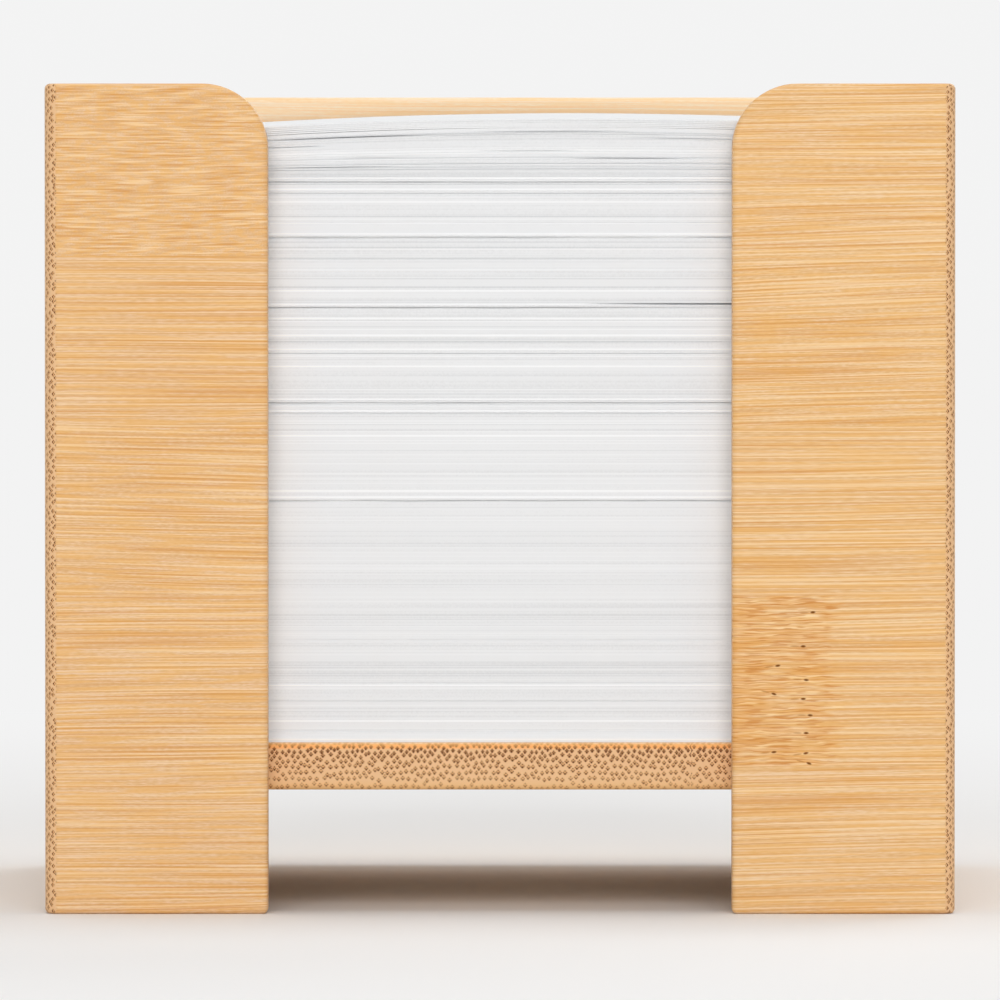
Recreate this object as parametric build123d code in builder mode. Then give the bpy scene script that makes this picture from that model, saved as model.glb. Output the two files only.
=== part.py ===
from build123d import *

import os
from math import hypot

# Bamboo memo box with its stack of square note sheets, in millimetres.
# Six glued boards make an open-topped box: two front panels with a finger gap between
# them, two side walls that reach the table, a floor let into grooves in the side walls,
# and a back wall that stands on the floor. The notes lie inside in packs, with a few
# loose, curled sheets on top.
# +Z is up, the front faces -Y, and the origin is on the table under the box's middle.

# Driving dimensions: note sheets
sheet_side = 90.0  # square sheets
sheet_thickness = 0.1
pack_sheets = (273, 110, 107, 79, 62, 60)  # sheets in each pack, from the floor up
loose_sheets = 5  # single sheets on top of the packs
sheet_air = 0.1  # air under each loose sheet
curl_left = 2.2  # the loose sheets' left ends hang this far below their crown
curl_right = 1.0
back_rise = 1.9  # the loose sheets' rear edges stand this much above the front ones

# Driving dimensions: box
board = 5.0  # thickness of the panels and walls
floor_thickness = 5.3
sheet_clearance = 1.0  # free space all round the sheets
box_height = 93.0
foot_height = 13.7  # free height under the floor
finger_gap = 52.0  # opening between the two front panels
gap_corner_radius = 7.3  # rounded upper corners of that opening
corner_radius = 1.6  # outer upright edges
edge_radius = 0.6  # every other edge that a hand meets
groove_depth = 2.0  # the floor reaches this far into each side wall
groove_clearance = 0.1  # glue room above the floor and at its ends in the grooves

# Sizes that follow from them
well = sheet_side + 2 * sheet_clearance
half_well = well / 2
half_outer = half_well + board
panel_width = half_outer - finger_gap / 2
floor_top = foot_height + floor_thickness
half_sheet = sheet_side / 2
lean_step = sheet_clearance / 2 / (len(pack_sheets) + loose_sheets)  # the stack leans forward


def keep(piece, name):
    """Label a finished piece and write it as one STEP file."""
    piece.part.label = name
    export_step(piece.part, f"parts/{name}.step")


def curl(crown_height):
    """End, crown and end of a curled sheet's line across the front, as X and Z."""
    left_end = (-half_sheet, crown_height - curl_left)
    right_end = (half_sheet, crown_height - curl_right)
    return left_end, (0, crown_height), right_end


os.makedirs("parts", exist_ok=True)

# Front panels: full height, so they are the front feet too
with BuildPart() as front_panel_left:
    with BuildSketch(Plane.XZ.offset(half_well)):
        with Locations((-half_outer + panel_width / 2, box_height / 2)):
            Rectangle(panel_width, box_height)
        gap_corner = vertices().group_by(Axis.Y)[-1].sort_by(Axis.X)[-1]
        fillet(gap_corner, gap_corner_radius)
    extrude(amount=board)
    outer_upright = faces().sort_by(Axis.Y)[0].edges().filter_by(Axis.Z).sort_by(Axis.X)[0]
    fillet(outer_upright, corner_radius)
    # The rear outer upright is glued flush to the side wall, and stays sharp
    gap_uprights = edges().filter_by(Axis.Z).group_by(Axis.X)[-1]
    corners = edges().filter_by(Axis.Y).group_by(Axis.Z)
    outer_top_corner = corners[-1].sort_by(Axis.X)[0]
    rims = edges().filter_by(Axis.X) + edges().filter_by(GeomType.CIRCLE)
    fillet(rims + gap_uprights + corners[0] + [outer_top_corner], edge_radius)
keep(front_panel_left, "front_panel_left")

with BuildPart() as front_panel_right:
    mirror(front_panel_left.part, about=Plane.YZ)
keep(front_panel_right, "front_panel_right")

# Side walls: from the front panels to the rear face, grooved for the floor
with BuildPart() as side_wall_left:
    with BuildSketch(Plane.XZ.offset(half_well)):
        with Locations((-half_well - board / 2, box_height / 2)):
            Rectangle(board, box_height)
    extrude(amount=-(well + board))
    rear_upright = faces().sort_by(Axis.Y)[-1].edges().filter_by(Axis.Z).sort_by(Axis.X)[0]
    fillet(rear_upright, corner_radius)
    top_rim = edges().group_by(Axis.Z)[-1]
    foot_rim = edges().group_by(Axis.Z)[0]
    # The front ends are glued to the front panels, and stay sharp
    glued_end = edges().filter_by(Axis.X).group_by(Axis.Y)[0]
    fillet(top_rim + foot_rim - glued_end, edge_radius)
    with BuildSketch(Plane.XZ.offset(half_well)):
        groove = groove_depth + groove_clearance
        with Locations((-half_well - groove / 2, floor_top - (floor_thickness - groove_clearance) / 2)):
            Rectangle(groove, floor_thickness + groove_clearance)
    extrude(amount=-(well + board), mode=Mode.SUBTRACT)
keep(side_wall_left, "side_wall_left")

with BuildPart() as side_wall_right:
    mirror(side_wall_left.part, about=Plane.YZ)
keep(side_wall_right, "side_wall_right")

# Floor: its long sides lie in the grooves, and its front edge butts on the front panels
with BuildPart() as floor_board:
    with BuildSketch(Plane.XY.offset(foot_height)):
        with Locations((0, board / 2)):
            Rectangle(well + 2 * groove_depth, well + board)
    extrude(amount=floor_thickness)
    front_rims = edges().filter_by(Axis.X).group_by(Axis.Y)[0]
    fillet(front_rims, edge_radius)
keep(floor_board, "floor_board")

# Back wall: stands on the floor between the side walls
with BuildPart() as back_wall:
    with BuildSketch(Plane.XY.offset(floor_top)):
        with Locations((0, half_well + board / 2)):
            Rectangle(well, board)
    extrude(amount=box_height - floor_top)
    fillet(edges().filter_by(Axis.X).group_by(Axis.Z)[-1], edge_radius)
keep(back_wall, "back_wall")

# Note packs: flat blocks of sheets, each a little further forward than the one below
pack_bottom = floor_top
for number, sheets in enumerate(pack_sheets[:-1], start=1):
    with BuildPart() as note_pack:
        with BuildSketch(Plane.XY.offset(pack_bottom)):
            with Locations((0, -number * lean_step)):
                Rectangle(sheet_side, sheet_side)
        extrude(amount=sheets * sheet_thickness)
    keep(note_pack, f"note_pack_{number}")
    pack_bottom += sheets * sheet_thickness

# Uppermost pack: flat below, curled above, and thicker towards the back
number = len(pack_sheets)
crown = pack_bottom + pack_sheets[-1] * sheet_thickness
front = half_sheet + number * lean_step
with BuildPart() as note_pack:
    for depth, rise in ((0, 0), (sheet_side, back_rise)):
        with BuildSketch(Plane.XZ.offset(front - depth)):
            with BuildLine():
                top = ThreePointArc(*curl(crown + rise))
                Polyline(top @ 1, (half_sheet, pack_bottom), (-half_sheet, pack_bottom), top @ 0)
            make_face()
    loft(ruled=True)
keep(note_pack, f"note_pack_{number}")

# Loose sheets: each keeps the curl and the slope of the one below
for number in range(1, loose_sheets + 1):
    underside = crown + number * sheet_air + (number - 1) * sheet_thickness
    front = half_sheet + (len(pack_sheets) + number) * lean_step
    with BuildPart() as loose_sheet:
        with BuildSketch(Plane.XZ.offset(front)):
            with BuildLine():
                lower = ThreePointArc(*curl(underside))
                upper = ThreePointArc(*curl(underside + sheet_thickness))
                Line(lower @ 0, upper @ 0)
                Line(lower @ 1, upper @ 1)
            make_face()
        extrude(amount=hypot(sheet_side, back_rise), dir=(0, sheet_side, back_rise))
    keep(loose_sheet, "top_sheet" if number == loose_sheets else f"loose_sheet_{number}")
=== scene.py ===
import math
import random
from functools import partial

import bmesh
import bpy
from mathutils import Matrix, Vector, noise


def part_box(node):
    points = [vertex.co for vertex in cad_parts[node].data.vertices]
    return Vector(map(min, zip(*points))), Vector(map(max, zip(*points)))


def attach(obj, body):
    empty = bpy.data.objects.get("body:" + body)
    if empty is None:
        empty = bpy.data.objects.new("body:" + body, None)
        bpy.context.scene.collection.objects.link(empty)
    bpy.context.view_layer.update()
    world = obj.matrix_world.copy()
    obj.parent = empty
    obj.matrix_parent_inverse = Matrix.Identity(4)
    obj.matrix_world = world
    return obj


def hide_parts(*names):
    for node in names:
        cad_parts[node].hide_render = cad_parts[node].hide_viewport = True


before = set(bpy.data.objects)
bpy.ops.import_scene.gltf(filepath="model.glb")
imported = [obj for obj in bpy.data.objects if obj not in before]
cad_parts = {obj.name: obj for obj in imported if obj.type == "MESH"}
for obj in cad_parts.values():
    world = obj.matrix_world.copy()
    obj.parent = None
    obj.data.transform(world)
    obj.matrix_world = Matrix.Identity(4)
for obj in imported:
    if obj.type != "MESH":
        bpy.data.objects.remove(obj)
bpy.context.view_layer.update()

# Bamboo memo box with its stack of note sheets, in metres. The boards are the CAD nodes with
# bamboo materials. The packs and loose sheets are rebuilt leaf by leaf, because their cut
# edges are most of what is seen through the finger gap.

MM = 0.001

# Note sheets, as the CAD model has them
SHEET = 0.1 * MM
CURL_LEFT = 2.2 * MM  # the upper sheets' left ends hang this far below their crown
CURL_RIGHT = 1.0 * MM
BACK_RISE = 1.9 * MM  # and their rear edges stand this much above the front ones
LEAF_FILL = 0.97  # how much of its room a drawn leaf takes up, so that neighbours stay apart
TOP_PACK_LEAVES = 50  # leaves drawn in the uppermost pack, a little thicker than real ones
SHEET_ROOM = 0.085 * MM  # a loose sheet is drawn this much thicker, down into the air below it
SHEET_WAVE = 0.06 * MM  # how far a loose sheet waves up and down
SHEET_TURNS = (0.1, -0.12, 0.05, -0.06, 0.09)  # how far the loose sheets lie askew, in degrees

# Bamboo, in millimetres
STRIP_WIDTH = 19.0
BUNDLE_SPACING = 0.68  # vascular bundles, between neighbours in a row
SIDE_DOT, OUTER_DOT, INNER_DOT = 0.155, 0.18, 0.14  # a bundle's dots, from its middle
FLECK_SPACING = 1.95  # dark flecks at a culm joint
FLECK = (0.0, 0.3, 0.14)  # a fleck's place along the grain, half its length and half its width
DASH = (0.95, 0.55, 0.1)  # the same for the dash before it
SECOND_ROW = 3.7  # from the first row of flecks to the second
CORNER_START, CORNER_END = 49.4, 51.0  # the rounding of the outer uprights, from the middle
HALF_CORE = 1.8  # from a board's middle to where the lines of its faces begin
EDGE_LINES = 3.2  # how far the lines shift from one face to the other
END_DEPTH = 5.3  # end grain, from the skin to the far face


def linear(hex_colour):
    """The linear colour of an sRGB hex value, as a shader socket takes it."""
    values = [int(hex_colour[i:i + 2], 16) / 255 for i in (1, 3, 5)]
    return [v / 12.92 if v <= 0.04045 else ((v + 0.055) / 1.055) ** 2.4 for v in values] + [1.0]


def add(tree, kind, inputs=(), stops=(), **settings):
    """Add a node with its settings and return it. Inputs come in order, or by name in a dict.
    A socket is linked, and so is a node, by its first output in use; the rest are values.
    stops are a colour ramp's places and sRGB hex values."""
    node = tree.nodes.new("ShaderNode" + kind)
    for setting, value in settings.items():
        setattr(node, setting, value)
    sockets = [socket for socket in node.inputs if socket.enabled]
    if isinstance(inputs, dict):
        pairs = [(next(s for s in sockets if s.name == name), v) for name, v in inputs.items()]
    else:
        pairs = zip(sockets, inputs)
    for socket, value in pairs:
        if isinstance(value, bpy.types.Node):
            value = next(s for s in value.outputs if s.enabled)
        if isinstance(value, bpy.types.NodeSocket):
            tree.links.new(value, socket)
        else:
            socket.default_value = value
    if stops:
        ramp = node.color_ramp.elements
        ramp[0].position, ramp[1].position = stops[0][0], stops[-1][0]
        for place, hex_colour in stops[1:-1]:
            ramp.new(place)
        for element, (place, hex_colour) in zip(ramp, stops):
            element.color = linear(hex_colour)
    return node


def fibre_noise(node, place, length, pitch):
    """Noise drawn out along the grain, in streaks of about this length and pitch."""
    squeezed = node("VectorMath", (place, (1 / length, 1 / pitch, 1.0)), operation="MULTIPLY")
    return node("TexNoise", {"Vector": squeezed, "Scale": 1.0, "Detail": 1.0}, noise_dimensions="2D")


def bundle_dots(node, width, inside):
    """Vascular bundles in end grain, in staggered rows: a dark dot on the culm's inner side
    and three small ones round a paler middle, and the tan ground about them. Near the skin
    they are closed up and crowded. inside is the depth from the skin."""
    across_rows = node("Math", (inside, -0.07, 1.5), operation="MULTIPLY_ADD")
    rows = node("Math", (inside, across_rows), operation="MULTIPLY")
    rows_here = node("Math", (inside, -0.14, 1.5), operation="MULTIPLY_ADD")
    columns = node("Math", (width, math.sqrt(2) / BUNDLE_SPACING), operation="MULTIPLY")
    place = node("CombineXYZ", (columns, rows, 0.0))
    place = node("Mapping", {"Vector": place, "Rotation": (0, 0, math.radians(45))})
    bundle = node(
        "TexVoronoi", {"Vector": place, "Scale": 1.0, "Randomness": 0.5}, voronoi_dimensions="2D"
    )
    offset = node("VectorMath", (place, bundle.outputs["Position"]), operation="SUBTRACT")
    offset = node("Mapping", {"Vector": offset, "Rotation": (0, 0, math.radians(-45))})
    per_mm = node("CombineXYZ", (math.sqrt(2) / BUNDLE_SPACING, rows_here, 1.0))
    offset = node("VectorMath", (offset, per_mm), operation="DIVIDE")
    half = node("VectorMath", (offset,), operation="ABSOLUTE")
    beside = node("VectorMath", (half, (SIDE_DOT, 0.0, 0.0)), operation="DISTANCE")
    above = node("VectorMath", (offset, (0.0, -OUTER_DOT, 0.0)), operation="DISTANCE")
    small = node("Math", (beside, above), operation="MINIMUM")
    small = node("MapRange", (small, 0.088, 0.052, 0.0, 0.85), interpolation_type="SMOOTHSTEP")
    below = node("VectorMath", (offset, (0.0, INNER_DOT, 0.0)), operation="DISTANCE")
    large = node("MapRange", (below, 0.13, 0.085, 0.0, 1.0), interpolation_type="SMOOTHSTEP")
    middle = node("VectorMath", (offset,), operation="LENGTH")
    closed = node("MapRange", (middle, 0.19, 0.12, 0.0, 1.0), interpolation_type="SMOOTHSTEP")
    near_skin = node("MapRange", (inside, 0.5, 2.4, 0.95, 0.0))
    closed = node("Math", (closed, near_skin), operation="MULTIPLY")
    dots = node("Math", (small, large), operation="MAXIMUM")
    dots = node("Math", (dots, closed), operation="MAXIMUM")
    own = node("SeparateColor", (bundle.outputs["Color"],)).outputs[0]
    fading = node("Math", (own, 1.5, inside), operation="MULTIPLY_ADD")
    fading = node("MapRange", (fading, 3.8, 7.5, 1.0, 0.3))
    dots = node("Math", (dots, fading), operation="MULTIPLY")
    below_skin = node("MapRange", (inside, 0.1, 0.75, 0.0, 1.0))
    dots = node("Math", (dots, below_skin), operation="MULTIPLY")
    tan = node("MapRange", (middle, 0.36, 0.14, 0.0, 0.5), interpolation_type="SMOOTHSTEP")
    return dots, node("Math", (tan, fading), operation="MULTIPLY")


def knuckle_flecks(node, beyond, width, here, seed, share):
    """A broken row of short dark flecks across a strip, at a culm joint, and the tan dash
    that lies before each one."""
    place = node("Math", (width, FLECK_SPACING), operation="DIVIDE")
    cell = node("Math", (place,), operation="FLOOR")
    own_seed = node("Math", (cell, seed), operation="ADD")
    chance = node("TexWhiteNoise", {"W": own_seed}, noise_dimensions="1D")
    chance = node("SeparateColor", (chance.outputs["Color"],)).outputs
    shown = node("Math", (chance[2], share), operation="LESS_THAN")
    shown = node("Math", (shown, here), operation="MULTIPLY")
    middle = node("MapRange", (chance[0], 0.0, 1.0, 0.25, 0.75))
    middle = node("Math", (cell, middle), operation="ADD")
    across = node("Math", (place, middle), operation="SUBTRACT")
    across = node("Math", (across, FLECK_SPACING), operation="MULTIPLY")
    shift = node("MapRange", (chance[1], 0.0, 1.0, -0.6, 0.6))
    along = node("Math", (beyond, shift), operation="SUBTRACT")
    tilt = node("MapRange", (chance[0], 0.0, 1.0, -0.15, 0.35))
    slant = node("Math", (along, tilt, across), operation="MULTIPLY_ADD")
    marks = []
    for offset, half_length, half_width in (FLECK, DASH):
        lengthways = node("Math", (along, offset), operation="ADD")
        lengthways = node("Math", (lengthways, half_length), operation="DIVIDE")
        crossways = node("Math", (slant, half_width), operation="DIVIDE")
        mark = node("CombineXYZ", (lengthways, crossways, 0.0))
        mark = node("VectorMath", (mark,), operation="LENGTH")
        mark = node("MapRange", (mark, 1.25, 0.5, 0.0, 1.0), interpolation_type="SMOOTHSTEP")
        marks.append(node("Math", (mark, shown), operation="MULTIPLY"))
    return marks


def knuckle_zone(node, beyond, here, place):
    """Where a culm joint darkens its strip: it stops short on one side and fades on the other."""
    ragged = node("MapRange", (fibre_noise(node, place, 9.0, 0.35), 0.3, 0.7, -1.5, 1.5))
    beyond = node("Math", (beyond, ragged), operation="ADD")
    short_side = node("MapRange", (beyond, 2.0, 3.0, 1.0, 0.0), interpolation_type="SMOOTHSTEP")
    long_side = node("MapRange", (beyond, -20.0, -8.0, 0.0, 1.0), interpolation_type="SMOOTHSTEP")
    zone = node("Math", (short_side, long_side), operation="MULTIPLY")
    return node("Math", (zone, here), operation="MULTIPLY")


def laminated_bamboo(
    name, middle, grain, across, through, skin, inwards, seam, seed, tints,
    bundles="#662B00", bare_end=0, bare_from=0.22, short_strip=None, knuckles=(),
    lean=(-0.017, 0.017),
):
    """Laminated bamboo: strips of the culm glued side by side, planed, sanded and clear
    lacquered. To the eye that is fine lines along the grain, a tone for each strip, rows of
    brown dots where the fibres are cut across, and a satin gloss.

    grain, across and through are the board's axes, 0 for X to 2 for Z. middle is the board's
    middle and skin is where the culm's outside lay, in millimetres through the board, and
    inwards is 1 or -1. bundles is the dots' colour, bare_end is the side, 1 or -1, whose rounded
    edge shows them round the corner, and bare_from says how far. The fibres of short_strip
    were cut at a slant, and show as dashes. A knuckle is a culm joint, given by its strip's
    number and its place along the grain. lean is the least and the most that a strip's fibres
    rise along the grain."""
    material = bpy.data.materials.new(name)
    material.use_nodes = True
    tree = material.node_tree
    node = partial(add, tree)
    shader = tree.nodes["Principled BSDF"]
    texture = node("TexCoord")
    place = node("VectorMath", {"Vector": texture.outputs["Object"], "Scale": 1 / MM}, operation="SCALE")
    axes = node("SeparateXYZ", (place,)).outputs
    along, width, depth = axes[grain], axes[across], axes[through]

    # Each strip comes from another part of the culm
    strip = node("Math", (width, seam), operation="SUBTRACT")
    strip = node("Math", (strip, STRIP_WIDTH), operation="DIVIDE")
    strip = node("Math", (strip,), operation="FLOOR")
    own_seed = node("Math", (strip, seed), operation="ADD")
    own = node("TexWhiteNoise", {"W": own_seed}, noise_dimensions="1D")
    own = node("SeparateColor", (own.outputs["Color"],)).outputs
    stretch = node("MapRange", (own[1], 0.0, 1.0, 0.7, 2.4))
    if short_strip is not None:
        short = node("Math", (strip, short_strip, 0.5), operation="COMPARE")
        short = node("Math", (short, 5.5, 1.0), operation="MULTIPLY_ADD")
        stretch = node("Math", (stretch, short), operation="MULTIPLY")
    culm_along = node("Math", (along, stretch), operation="MULTIPLY")
    culm_along = node("Math", (own[0], 400.0, culm_along), operation="MULTIPLY_ADD")

    # The fibres wander a little over some centimetres. Between the faces the depth is added to
    # the width, so that a board's edges have their own lines
    culm_width = node("Math", (own[1], 50.0, width), operation="MULTIPLY_ADD")
    drift = fibre_noise(node, node("CombineXYZ", (along, culm_width, 0.0)), 60.0, 8.0)
    drift = node("MapRange", (drift, 0.0, 1.0, -0.5, 0.5))
    fibre_width = node("Math", (width, drift), operation="ADD")
    edgeways = node("MapRange", (depth, middle - HALF_CORE, middle + HALF_CORE, 0.0, EDGE_LINES))
    fibre_over = node("Math", (culm_width, drift), operation="ADD")
    fibre_over = node("Math", (fibre_over, edgeways), operation="ADD")
    rise = node("MapRange", (own[0], 0.0, 1.0, *lean))
    rise = node("Math", (along, rise), operation="MULTIPLY")
    fibre_over = node("Math", (fibre_over, rise), operation="SUBTRACT")

    # At a culm joint they wander more
    knots = []
    for number, knuckle_place in knuckles:
        here = node("Math", (strip, number, 0.5), operation="COMPARE")
        beyond = node("Math", (along, knuckle_place), operation="SUBTRACT")
        zone = knuckle_zone(node, beyond, here, node("CombineXYZ", (along, fibre_over, 0.0)))
        swirl = fibre_noise(node, node("CombineXYZ", (along, culm_width, 0.0)), 3.0, 1.2)
        swirl = node("MapRange", (swirl, 0.2, 0.8, -0.08, 0.08))
        fibre_over = node("Math", (zone, swirl, fibre_over), operation="MULTIPLY_ADD")
        first_row = knuckle_flecks(node, beyond, width, here, seed, 0.85)
        further = node("Math", (beyond, SECOND_ROW), operation="ADD")
        second_row = knuckle_flecks(node, further, width, here, seed + 31.7, 0.35)
        flecks, dashes = [node("Math", pair, operation="MAXIMUM") for pair in zip(first_row, second_row)]
        knots.append((zone, flecks, dashes))

    # Soft bands and fine fibres give the ground; thin dark and thin pale lines lie over it
    fibres = node("CombineXYZ", (culm_along, fibre_over, 0.0))
    other = node("VectorMath", (fibres, (31.0, 17.0, 0.0)), operation="ADD")
    third = node("VectorMath", (fibres, (77.0, 59.0, 0.0)), operation="ADD")
    bands = node("MapRange", (fibre_noise(node, fibres, 42.0, 0.26), 0.0, 1.0, -0.5, 0.5))
    fine = node("MapRange", (fibre_noise(node, other, 1.4, 0.13), 0.0, 1.0, -0.45, 0.45))
    tone = node("MapRange", (own[2], 0.0, 1.0, 0.44, 0.56))
    lines = node("Math", (node("Math", (bands, fine), operation="ADD"), tone), operation="ADD")
    face = node("ValToRGB", (lines,), stops=tints["ground"])
    gold = node("MapRange", (fibre_noise(node, third, 12.0, 0.45), 0.42, 0.62, 0.0, 0.55))
    face = node("Mix", (gold, face, linear(tints["gold"])), data_type="RGBA")
    for source, tint, strength in ((other, "dark", 0.6), (third, "pale", 0.5)):
        streaks = fibre_noise(node, source, 62.0, 0.2)
        streaks = node("MapRange", (streaks, 0.54, 0.68, 0.0, strength), interpolation_type="SMOOTHSTEP")
        face = node("Mix", (streaks, face, linear(tints[tint])), data_type="RGBA")
    for zone, flecks, dashes in knots:
        knot_fibres = node("CombineXYZ", (along, fibre_over, 0.0))
        for length, pitch, least, most, strength, hex_colour in (
            (6.0, 1.6, 0.4, 0.6, 0.45, "#E3A04F"),
            (4.5, 0.24, 0.58, 0.7, 0.6, "#FDDBA4"),
            (3.0, 0.17, 0.53, 0.66, 0.65, "#CD8336"),
        ):
            stain = fibre_noise(node, knot_fibres, length, pitch)
            stain = node("MapRange", (stain, least, most, 0.0, strength), interpolation_type="SMOOTHSTEP")
            stain = node("Math", (zone, stain), operation="MULTIPLY")
            stain = node("Math", (stain, tints["knuckle"]), operation="MULTIPLY")
            face = node("Mix", (stain, face, linear(hex_colour)), data_type="RGBA")
        dashes = node("Math", (dashes, 0.6 * tints["knuckle"]), operation="MULTIPLY")
        face = node("Mix", (dashes, face, linear("#B97A34")), data_type="RGBA")
        face = node("Mix", (flecks, face, linear("#7A4405")), data_type="RGBA")

    # End grain, whose dots also show on a rounded edge
    inside = node("Math", (depth, skin), operation="SUBTRACT")
    inside = node("Math", (inside, inwards), operation="MULTIPLY")
    round_corner = node("Math", (along,), operation="ABSOLUTE")
    corner = CORNER_END - CORNER_START
    round_corner = node("MapRange", (round_corner, CORNER_START, CORNER_END, 0.0, corner))
    dots, tan = bundle_dots(node, fibre_width, node("Math", (inside, round_corner), operation="ADD"))
    # The ramp's first stop, pale at the skin, is a painted highlight along the rounded edge there
    end = node(
        "ValToRGB",
        (node("Math", (inside, END_DEPTH), operation="DIVIDE"),),
        stops=(
            (0.0, "#FFE6C4"), (0.04, "#FDBE78"), (0.1, "#FDB266"), (0.15, "#EABF91"), (0.8, "#ECC191"),
            (1.0, "#EDBB7E"),
        ),
    )
    end = node("Mix", (tan, end, linear("#DB9A55")), data_type="RGBA")
    end = node("Mix", (dots, end, linear(bundles)), data_type="RGBA")

    facing = node("SeparateXYZ", (texture.outputs["Normal"],)).outputs[grain]
    square_end = node("Math", (facing,), operation="ABSOLUTE")
    square_end = node("MapRange", (square_end, 0.93, 0.99, 0.0, 1.0), interpolation_type="SMOOTHSTEP")
    rounded_end = node("Math", (facing, bare_end), operation="MULTIPLY")
    rounded_end = node(
        "MapRange", (rounded_end, bare_from, bare_from + 0.2, 0.0, 1.0), interpolation_type="SMOOTHSTEP"
    )
    end_grain = node("Math", (square_end, rounded_end), operation="MAXIMUM")
    colour = node("Mix", (end_grain, face, end), data_type="RGBA")
    pores = node("Math", (1.0, dots), operation="SUBTRACT")
    relief = node("Mix", (end_grain, lines, pores), data_type="FLOAT")
    bump = node("Bump", {"Strength": 0.25, "Distance": 0.03 * MM, "Height": relief})
    gloss = node("MapRange", (lines, 0.2, 0.8, 0.5, 0.38))
    tree.links.new(colour.outputs[2], shader.inputs["Base Color"])
    tree.links.new(gloss.outputs[0], shader.inputs["Roughness"])
    tree.links.new(bump.outputs[0], shader.inputs["Normal"])
    shader.inputs["IOR"].default_value = 1.48
    shader.inputs["Specular IOR Level"].default_value = 0.2
    return material


def note_paper():
    """White uncoated writing paper, cut by guillotine: matt, faintly fibrous, and each leaf
    a shade off the next. On the cut edges some leaves carry a painted highlight, a pale line, and now and
    then one carries a painted shadow, a grey line."""
    material = bpy.data.materials.new("white_uncoated_paper")
    material.use_nodes = True
    tree = material.node_tree
    node = partial(add, tree)
    shader = tree.nodes["Principled BSDF"]
    texture = node("TexCoord")
    place = node("VectorMath", {"Vector": texture.outputs["Object"], "Scale": 1 / MM}, operation="SCALE")
    axes = node("SeparateXYZ", (place,)).outputs
    level = node("Attribute", attribute_name="flat_height").outputs["Fac"]
    # Real fibres are finer, and are drawn coarser so that they show
    fibres = node("TexNoise", {"Vector": place, "Scale": 4.0, "Detail": 3.0})
    leaf = node("Attribute", attribute_name="leaf_tone").outputs["Fac"]
    layers = node("CombineXYZ", (axes[0], axes[1], level))
    layers = node("VectorMath", (layers, (1 / 120, 1 / 120, 1 / 0.8)), operation="MULTIPLY")
    layers = node("TexNoise", {"Vector": layers, "Scale": 1.0, "Detail": 2.0})
    shade = node("Math", (leaf, 0.38, layers), operation="MULTIPLY_ADD")
    shade = node("Math", (fibres, 0.6, shade), operation="MULTIPLY_ADD")
    colour = node("ValToRGB", (shade,), stops=((0.56, "#E3E4E5"), (1.36, "#F0F1F2")))

    # Cut edges: the lowest leaves are painted whiter, painted light that lifts the shade low in the stack,
    # and the looser upper ones have stronger painted lines
    facing = node("SeparateXYZ", (texture.outputs["Normal"],)).outputs
    upright = node("Math", (facing[2],), operation="ABSOLUTE")
    cut_edge = node("MapRange", (upright, 0.3, 0.6, 1.0, 0.0))
    # Painted light: the lowest leaves' cut edges are mixed towards white
    lowest = node("MapRange", (level, 20.8, 19.4, 0.0, 0.8))
    lowest = node("Math", (lowest, cut_edge), operation="MULTIPLY")
    colour = node("Mix", (lowest, colour, linear("#F4FAFF")), data_type="RGBA")
    loose = node("MapRange", (level, 40.0, 86.0, 0.5, 1.6))
    lines = node("Math", (cut_edge, loose), operation="MULTIPLY")
    # Painted highlights as pale lines on some random leaves and on those with the highest tone, and
    # painted shadow as grey lines on a few random leaves
    for least, most, strength, hex_colour in (
        (0.87, 0.92, 0.85, "#FAFBFC"),
        (1.0, 1.1, 2.0, "#FDFEFF"),
        (0.1, 0.05, 0.18, "#A6AAAF"),
    ):
        line = node("MapRange", (leaf, least, most, 0.0, strength))
        line = node("Math", (line, lines), operation="MULTIPLY")
        colour = node("Mix", (line, colour, linear(hex_colour)), data_type="RGBA")

    # Painted: the front is tinted a little cooler towards its sides, to offset the warm light the panels
    # throw on it
    outer = node("Math", (axes[0],), operation="ABSOLUTE")
    outer = node("MapRange", (outer, 14.0, 27.0, 0.0, 1.0))
    front = node("MapRange", (facing[1], -0.5, -0.8, 0.0, 1.0))
    outer = node("Math", (outer, front), operation="MULTIPLY")
    cooler = (1.0, 1.03, 1.06, 1.0)
    colour = node("Mix", (outer, colour, cooler), data_type="RGBA", blend_type="MULTIPLY")

    bump = node("Bump", {"Strength": 0.2, "Distance": 0.02 * MM, "Height": fibres})
    tree.links.new(colour.outputs[2], shader.inputs["Base Color"])
    tree.links.new(bump.outputs[0], shader.inputs["Normal"])
    shader.inputs["Roughness"].default_value = 0.85
    shader.inputs["IOR"].default_value = 1.45
    return material


def cut_leaves(low, high, tones, cuts, fill=LEAF_FILL):
    """Leaves lying on each other in a box, one for each tone, as slabs cut into lengths from
    left to right. Each keeps its height in flat_height, in millimetres, and its tone in
    leaf_tone, for the lines on its cut edge."""
    mesh = bmesh.new()
    size = high - low
    leaves = len(tones)
    for leaf in range(leaves):
        middle = (low + high) / 2
        middle.z = low.z + size.z * (leaf + 0.5) / leaves
        slab = Matrix.Translation(middle) @ Matrix.Diagonal((size.x, size.y, size.z / leaves * fill, 1))
        bmesh.ops.create_cube(mesh, size=1, matrix=slab)
    lengthways = [e for e in mesh.edges if abs(e.verts[0].co.x - e.verts[1].co.x) > size.x / 2]
    bmesh.ops.subdivide_edges(mesh, edges=lengthways, cuts=cuts, use_grid_fill=True)
    flat_height = mesh.verts.layers.float.new("flat_height")
    leaf_tone = mesh.verts.layers.float.new("leaf_tone")
    for vertex in mesh.verts:
        vertex[flat_height] = vertex.co.z / MM
        leaf = int((vertex.co.z - low.z) / size.z * leaves)
        vertex[leaf_tone] = tones[min(leaf, leaves - 1)]
    return mesh


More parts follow.
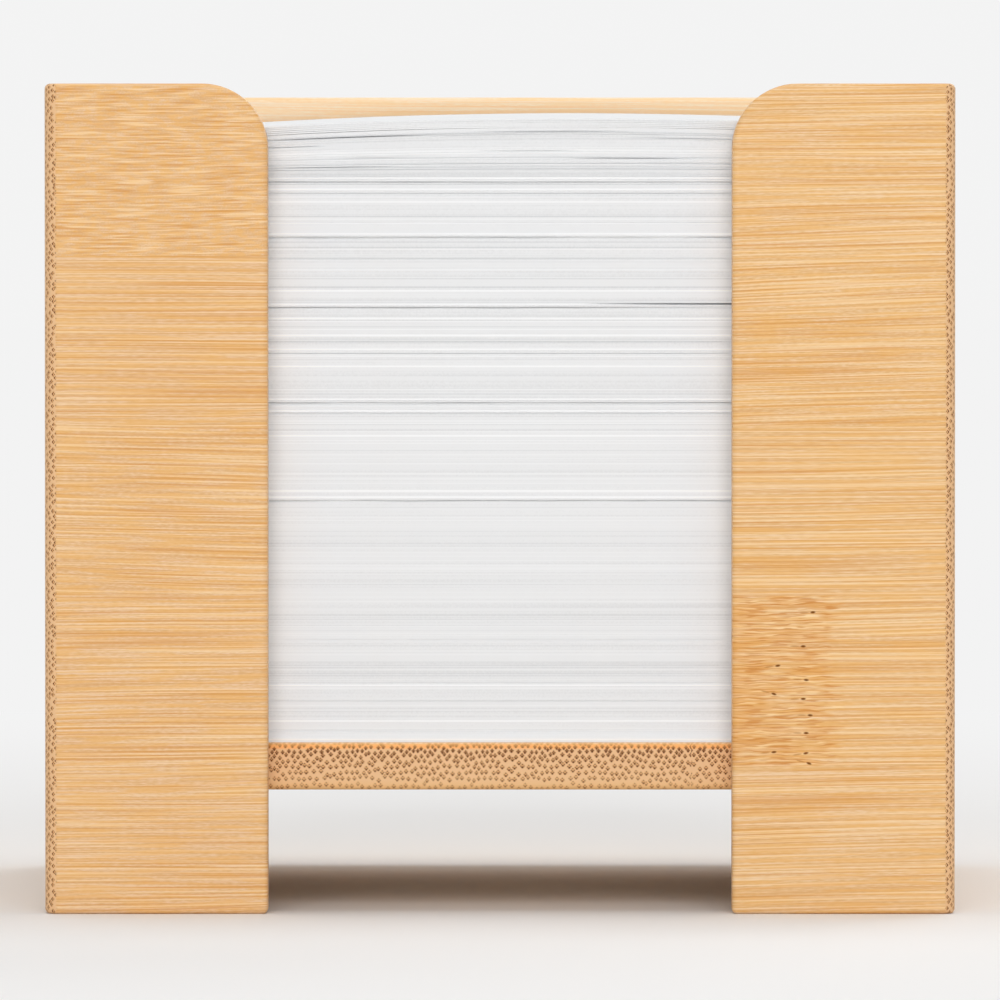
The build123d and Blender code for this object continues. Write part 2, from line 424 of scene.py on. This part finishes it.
def set_piece(name, mesh, node, paper):
    """Finish a bmesh as the piece that stands for a CAD node."""
    data = bpy.data.meshes.new(name)
    mesh.to_mesh(data)
    mesh.free()
    data.materials.append(paper)
    piece = bpy.data.objects.new(name, data)
    bpy.context.scene.collection.objects.link(piece)
    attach(piece, node)
    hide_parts(node)
    return piece


# Dark lines in the notes' front: leaves at these heights lie this much further back, both in
# millimetres
SEAMS = {
    20.3: 0.12, 23.6: 0.1, 25.7: 0.15, 27.6: 0.13, 30.5: 0.1, 37.7: 0.08, 39.4: 0.08, 56.0: 0.18,
    62.7: 0.18, 64.0: 0.1, 73.4: 0.15, 77.4: 0.14, 80.7: 0.2,
}
# Heights of pale lines, a painted highlight on the cut edges of the leaves there
PALE_LEAVES = (21.3, 25.3, 47.2, 53.4, 56.2, 61.2, 63.1, 64.7, 66.6, 69.7, 77.3, 81.1)
# The tone below paints that highlight
PAINTED_HIGHLIGHT_TONE = 1.2  # tone of the leaves there and near each pack's bottom; the others' is up to 1
# How far the top leaf of each flat pack lies back, in millimetres, and how many below it follow
TOP_LEAF_BACK = {1: 0.2, 2: 0.2, 3: 0.24, 4: 0.3, 5: 0.3}
TOP_LEAVES = 12
# Over them the line is uneven: this many leaves lie further back, more or fewer in waves of about
# the length given, and this is how far, both in millimetres
SEAM_LEAVES, SEAM_LEAVES_VARY = 1.6, 3.0
SEAM_WAVE, SEAM_DEPTH = 7, 0.1
# Short stretches of the uppermost pack's leaves that lie back, in millimetres: the stretch's
# middle from left to right, half its length, its height at the front, and how far back it is
PARTED_STRETCHES = (
    (-3.5, 11.0, 87.6, 0.9),
    (-17.0, 10.0, 87.0, 0.5),
    (-25.0, 6.0, 85.9, 0.25),
    (6.0, 9.0, 87.7, 0.22),
    (22.0, 9.0, 86.9, 0.22),
    (3.5, 7.0, 85.6, 0.18),
    (14.5, 7.0, 84.7, 0.25),
    (-14.0, 6.0, 84.8, 0.18),
    (-18.5, 7.0, 83.7, 0.2),
    (0.0, 60.0, 84.1, 0.22),
)


def pull_back(mesh, low, high, leaves, setback, wander, wave):
    """Move each leaf's cut edges in from its box by its own setback, which wanders slowly in
    waves of about the length given in millimetres."""
    centre = (low + high) / 2
    for vertex in mesh.verts:
        leaf = int((vertex.co.z - low.z) / (high.z - low.z) * leaves)
        x, y = vertex.co.x - centre.x, vertex.co.y - centre.y
        bend = noise.noise((x / MM / wave, y / MM / wave + 40, leaf * 0.61)) * wander
        inset = max(setback(leaf, x) + bend, 0)
        vertex.co.y -= math.copysign(inset, y)
        if abs(x) > (high.x - low.x) * 0.499:
            vertex.co.x -= math.copysign(inset, x)


def note_pack(number, paper):
    """A flat pack of notes, one slab for each leaf."""
    node = f"note_pack_{number}"
    low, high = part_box(node)
    leaves = round((high.z - low.z) / SHEET)
    dice = random.Random(number)
    setbacks = []
    sheaf = 0
    for leaf in range(leaves):
        # Leaves come in sheaves that were squared up together
        if dice.random() < 0.18:
            sheaf = abs(dice.gauss(0, 0.025))
        setbacks.append((0.05 + sheaf + dice.gauss(0, 0.012)) * MM)
    for height, deepness in SEAMS.items():
        leaf = round((height * MM - low.z) / SHEET)
        if 2 <= leaf < leaves:
            for below in range(3):
                setbacks[leaf - below] += deepness * MM / (1 + 2 * below)
    tones = [dice.random() for leaf in range(leaves)]
    # Leaves given the highest tone carry a painted highlight on their cut edges
    for height in PALE_LEAVES:
        leaf = round((height * MM - low.z) / SHEET)
        if 0 <= leaf < leaves - 1:
            tones[leaf:leaf + 2] = [PAINTED_HIGHLIGHT_TONE] * 2
    tones[2:4] = [PAINTED_HIGHLIGHT_TONE] * 2
    # The bottom leaves stand out, and the top ones lie further and further back
    setbacks[:2] = [0.02 * MM] * 2

    def setback(leaf, x):
        below = leaves - 1 - leaf
        back = TOP_LEAF_BACK[number] * MM * max(1 - below / TOP_LEAVES, 0)
        back += 0.12 * MM * noise.noise((x / MM / 5, number * 7.3, leaf * 0.3)) if below < 3 else 0
        ripple = noise.noise((x / MM / SEAM_WAVE, number * 3.1, 0.0))
        parted = SEAM_LEAVES + SEAM_LEAVES_VARY * ripple
        back += SEAM_DEPTH * MM * min(max(parted - below, 0), 1)
        # On the right the fourth pack's lowest leaves gape, and stay with the third pack
        right = min(max((x / MM - 9) / 14, 0), 1)
        if number == 3:
            back *= 1 - 0.8 * right
        elif number == 4 and leaf == 3:
            back += 1.0 * MM * right
        elif number == 4 and leaf == 2:
            back += 0.5 * MM * right
        return setbacks[leaf] + back

    mesh = cut_leaves(low, high, tones, cuts=29)
    pull_back(mesh, low, high, leaves, setback, wander=0.04 * MM, wave=60)
    return set_piece(node + "_leaves", mesh, node, paper)


def curl(x, y, front, side):
    """How far a curled sheet stands over its crown's front, at a place on it."""
    half = side / 2
    across = (CURL_LEFT + CURL_RIGHT) / 2 * (x / half) ** 2 + (CURL_RIGHT - CURL_LEFT) / 2 * x / half
    return BACK_RISE * (y - front) / side - across


def upper_pack(paper):
    """The uppermost pack: its leaves lie flat below and curl more and more upwards."""
    node = "note_pack_6"
    low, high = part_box(node)
    side = high.x - low.x
    bulge = (CURL_LEFT - CURL_RIGHT) ** 2 / 8 / (CURL_LEFT + CURL_RIGHT)
    crown = high.z - low.z - BACK_RISE - bulge
    leaves = TOP_PACK_LEAVES
    dice = random.Random(6)
    setbacks = [(0.04 + abs(dice.gauss(0, 0.08))) * MM for leaf in range(leaves)]
    tones = [dice.random() for leaf in range(leaves)]
    # These two leaves carry a painted highlight on their cut edges
    tones[2:4] = [PAINTED_HIGHLIGHT_TONE] * 2
    parted = {}
    for middle, half_length, height, back in PARTED_STRETCHES:
        room = crown + curl(middle * MM, low.y, low.y, side)
        leaf = round((height * MM - low.z) / room * leaves - 0.5)
        parted[min(leaf, leaves - 1)] = (middle * MM, half_length * MM, back * MM)

    def setback(leaf, x):
        middle, half_length, back = parted.get(leaf, (0, MM, 0))
        return setbacks[leaf] + back * max(1 - ((x - middle) / half_length) ** 2, 0)

    flat_high = Vector((high.x, high.y, low.z + crown))
    mesh = cut_leaves(low, flat_high, tones, cuts=47)
    pull_back(mesh, low, flat_high, leaves, setback, wander=0.05 * MM, wave=35)
    for vertex in mesh.verts:
        height = crown + curl(vertex.co.x, vertex.co.y, low.y, side)
        vertex.co.z = low.z + (vertex.co.z - low.z) * height / crown
    return set_piece(node + "_leaves", mesh, node, paper)


def loose_sheet(node, number, paper):
    """One curled sheet, lying on the one below. It is drawn nearly as thick as the room it
    has, so that no more than a hair line shows under it."""
    low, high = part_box(node)
    side = high.x - low.x
    sheet_low = Vector((low.x, low.y, low.z - SHEET_ROOM))
    sheet_high = Vector((high.x, high.y, low.z + SHEET))
    mesh = cut_leaves(sheet_low, sheet_high, [0.5], cuts=31, fill=1.0)
    front_to_back = [e for e in mesh.edges if abs(e.verts[0].co.y - e.verts[1].co.y) > side / 2]
    bmesh.ops.subdivide_edges(mesh, edges=front_to_back, cuts=15, use_grid_fill=True)
    for vertex in mesh.verts:
        x, y = vertex.co.x, vertex.co.y
        wave = noise.noise((x / MM / 30, y / MM / 30, number * 0.15)) * SHEET_WAVE
        vertex.co.z += CURL_LEFT + curl(x, y, low.y, side) + wave
    turn = Matrix.Rotation(math.radians(SHEET_TURNS[number]), 3, "Z")
    bmesh.ops.rotate(mesh, verts=mesh.verts, cent=(low + high) / 2, matrix=turn)
    return set_piece(node + "_leaf", mesh, node, paper)


# Boards. A ground is a ramp of the lines' tones, and knuckle is how strongly a culm joint shows.
# The back wall's tints are paler than the rest, painted light that stands in for the brighter light on its
# inner face
LEFT_GROUND = ((0.2, "#DFAD76"), (0.42, "#E4B783"), (0.58, "#E8BE8F"), (0.8, "#EEC8A0"))
PANEL_TINTS = {
    "ground": ((0.2, "#E1B077"), (0.42, "#E7BC86"), (0.58, "#EBC392"), (0.8, "#F1CDA3")),
    "gold": "#EEB666",
    "dark": "#D8954A",
    "pale": "#FFE0B2",
    "knuckle": 1.0,
}
# Paler than the other boards: painted light
WALL_TINTS = {
    "ground": ((0.2, "#FFDAAC"), (0.42, "#FFE0B8"), (0.58, "#FFE4C0"), (0.8, "#FFEBCE")),
    "gold": "#FFDAA6",
    "dark": "#FDCF98",
    "pale": "#FFEED8",
    "knuckle": 0.45,
}
X, Y, Z = 0, 1, 2
FRONT = {
    "grain": X, "across": Z, "through": Y, "skin": -52.9, "inwards": 1, "seam": 16.7, "bundles": "#62300A",
}
SIDE = {"grain": Y, "across": Z, "through": X, "bare_end": 1, "tints": {**PANEL_TINTS, "knuckle": 0.7}}
BOARDS = {
    "front_panel_left": {
        **FRONT, "seed": 3.0, "bare_end": -1, "bare_from": 0.1, "short_strip": 3,
        "tints": {**PANEL_TINTS, "ground": LEFT_GROUND},
    },
    "front_panel_right": {
        **FRONT, "seed": 11.0, "bare_end": 1, "knuckles": ((0, 34.5),), "lean": (0.005, 0.032),
    },
    "side_wall_left": {
        **SIDE, "skin": -51.0, "inwards": 1, "seam": 12.0, "seed": 23.0, "knuckles": ((2, -12.0),),
    },
    "side_wall_right": {
        **SIDE, "skin": 51.0, "inwards": -1, "seam": 8.0, "seed": 37.0, "knuckles": ((1, 26.0),),
    },
    "back_wall": {
        "grain": X, "across": Z, "through": Y, "skin": 51.0, "inwards": -1, "seam": 20.0,
        "seed": 41.0, "tints": WALL_TINTS, "knuckles": ((1, -20.0),),
    },
    "floor_board": {
        "grain": Y, "across": X, "through": Z, "skin": 19.0, "inwards": -1, "seam": 2.5,
        "seed": 53.0, "bare_end": -1,
    },
}
for node, board in BOARDS.items():
    low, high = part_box(node)
    middle = (low + high)[board["through"]] / 2 / MM
    bamboo = laminated_bamboo(f"laminated_bamboo_{node}", middle, **{"tints": PANEL_TINTS, **board})
    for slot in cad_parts[node].material_slots:
        slot.material = bamboo

# Notes
paper = note_paper()
for number in range(1, 6):
    note_pack(number, paper)
upper_pack(paper)
for number in range(4):
    loose_sheet(f"loose_sheet_{number + 1}", number, paper)
loose_sheet("top_sheet", 4, paper)

# Studio: a pale table top and soft light
TABLE_RADIUS = 12
LAMP_SIZE = 1.0
LIGHT_LEVEL, SEEN_LEVEL = 0.32, 0.9  # the world's strength as light, and as the eye sees it
table = bmesh.new()
bmesh.ops.create_circle(table, cap_ends=True, segments=64, radius=TABLE_RADIUS)
table_data = bpy.data.meshes.new("table")
table.to_mesh(table_data)
table.free()
table_top = bpy.data.objects.new("table", table_data)
bpy.context.scene.collection.objects.link(table_top)
matt_white = bpy.data.materials.new("matt_white_table_top")
matt_white.use_nodes = True
tree = matt_white.node_tree
table_shader = tree.nodes["Principled BSDF"]
table_shader.inputs["Base Color"].default_value = linear("#F2F1F0")
table_shader.inputs["Roughness"].default_value = 0.8
# Away from the box it fades to plain white for the eye, and lights the box as a table does
away = add(tree, "VectorMath", (add(tree, "TexCoord").outputs["Object"],), operation="LENGTH")
away = add(tree, "MapRange", (away, 0.1, 0.5, 0.0, 1.0), interpolation_type="SMOOTHSTEP")
rays = add(tree, "LightPath").outputs
seen = add(tree, "Math", (rays["Is Glossy Ray"], rays["Is Transmission Ray"]), operation="MAXIMUM")
seen = add(tree, "Math", (rays["Is Camera Ray"], seen), operation="MAXIMUM")
white = add(tree, "Emission", {"Color": linear("#F3F3F3"), "Strength": 1.0})
away = add(tree, "Math", (away, seen), operation="MULTIPLY")
blend = add(tree, "MixShader", (away, table_shader, white))
tree.links.new(blend.outputs[0], tree.nodes["Material Output"].inputs["Surface"])
table_data.materials.append(matt_white)


def soft_box(name, place, power):
    """A large soft lamp, turned to the box's middle."""
    data = bpy.data.lights.new(name, "AREA")
    data.shape = "SQUARE"
    data.size = LAMP_SIZE
    data.energy = power
    lamp = bpy.data.objects.new(name, data)
    lamp.location = place
    lamp.rotation_euler = (Vector((0, 0, 0.05)) - Vector(place)).to_track_quat("-Z", "Y").to_euler()
    bpy.context.scene.collection.objects.link(lamp)


soft_box("front light", (0, -1.5, 0.7), 12.5)
soft_box("top light", (0, 0.2, 1.4), 8.5)
soft_box("back light", (0.8, 1.3, 0.8), 5.0)
world = bpy.data.worlds.new("studio")
world.use_nodes = True
sky = world.node_tree
rays = add(sky, "LightPath").outputs
seen = add(sky, "Math", (rays["Is Glossy Ray"], rays["Is Transmission Ray"]), operation="MAXIMUM")
seen = add(sky, "Math", (rays["Is Camera Ray"], seen), operation="MAXIMUM")
strength = add(sky, "MapRange", (seen, 0.0, 1.0, LIGHT_LEVEL, SEEN_LEVEL))
sky.links.new(strength.outputs[0], sky.nodes["Background"].inputs["Strength"])
sky.nodes["Background"].inputs["Color"].default_value = linear("#FFFFFF")
bpy.context.scene.world = world

# Camera: square on, a little over the middle of the box
FRONT_FACE = -0.051
CAMERA_DISTANCE = 1.2  # from the front face
CAMERA_HEIGHT = 0.072
AIM_HEIGHT = 0.0464
VIEW_WIDTH = 0.1119  # at the front face
SENSOR_WIDTH = 36
camera_data = bpy.data.cameras.new("camera")
camera_data.sensor_width = SENSOR_WIDTH
camera_data.lens = SENSOR_WIDTH * CAMERA_DISTANCE / VIEW_WIDTH
camera_data.clip_end = 100
camera = bpy.data.objects.new("camera", camera_data)
camera.location = (0, FRONT_FACE - CAMERA_DISTANCE, CAMERA_HEIGHT)
view = Vector((0, FRONT_FACE, AIM_HEIGHT)) - camera.location
camera.rotation_euler = view.to_track_quat("-Z", "Y").to_euler()
bpy.context.scene.collection.objects.link(camera)
bpy.context.scene.camera = camera
bpy.context.scene.view_settings.view_transform = "Standard"
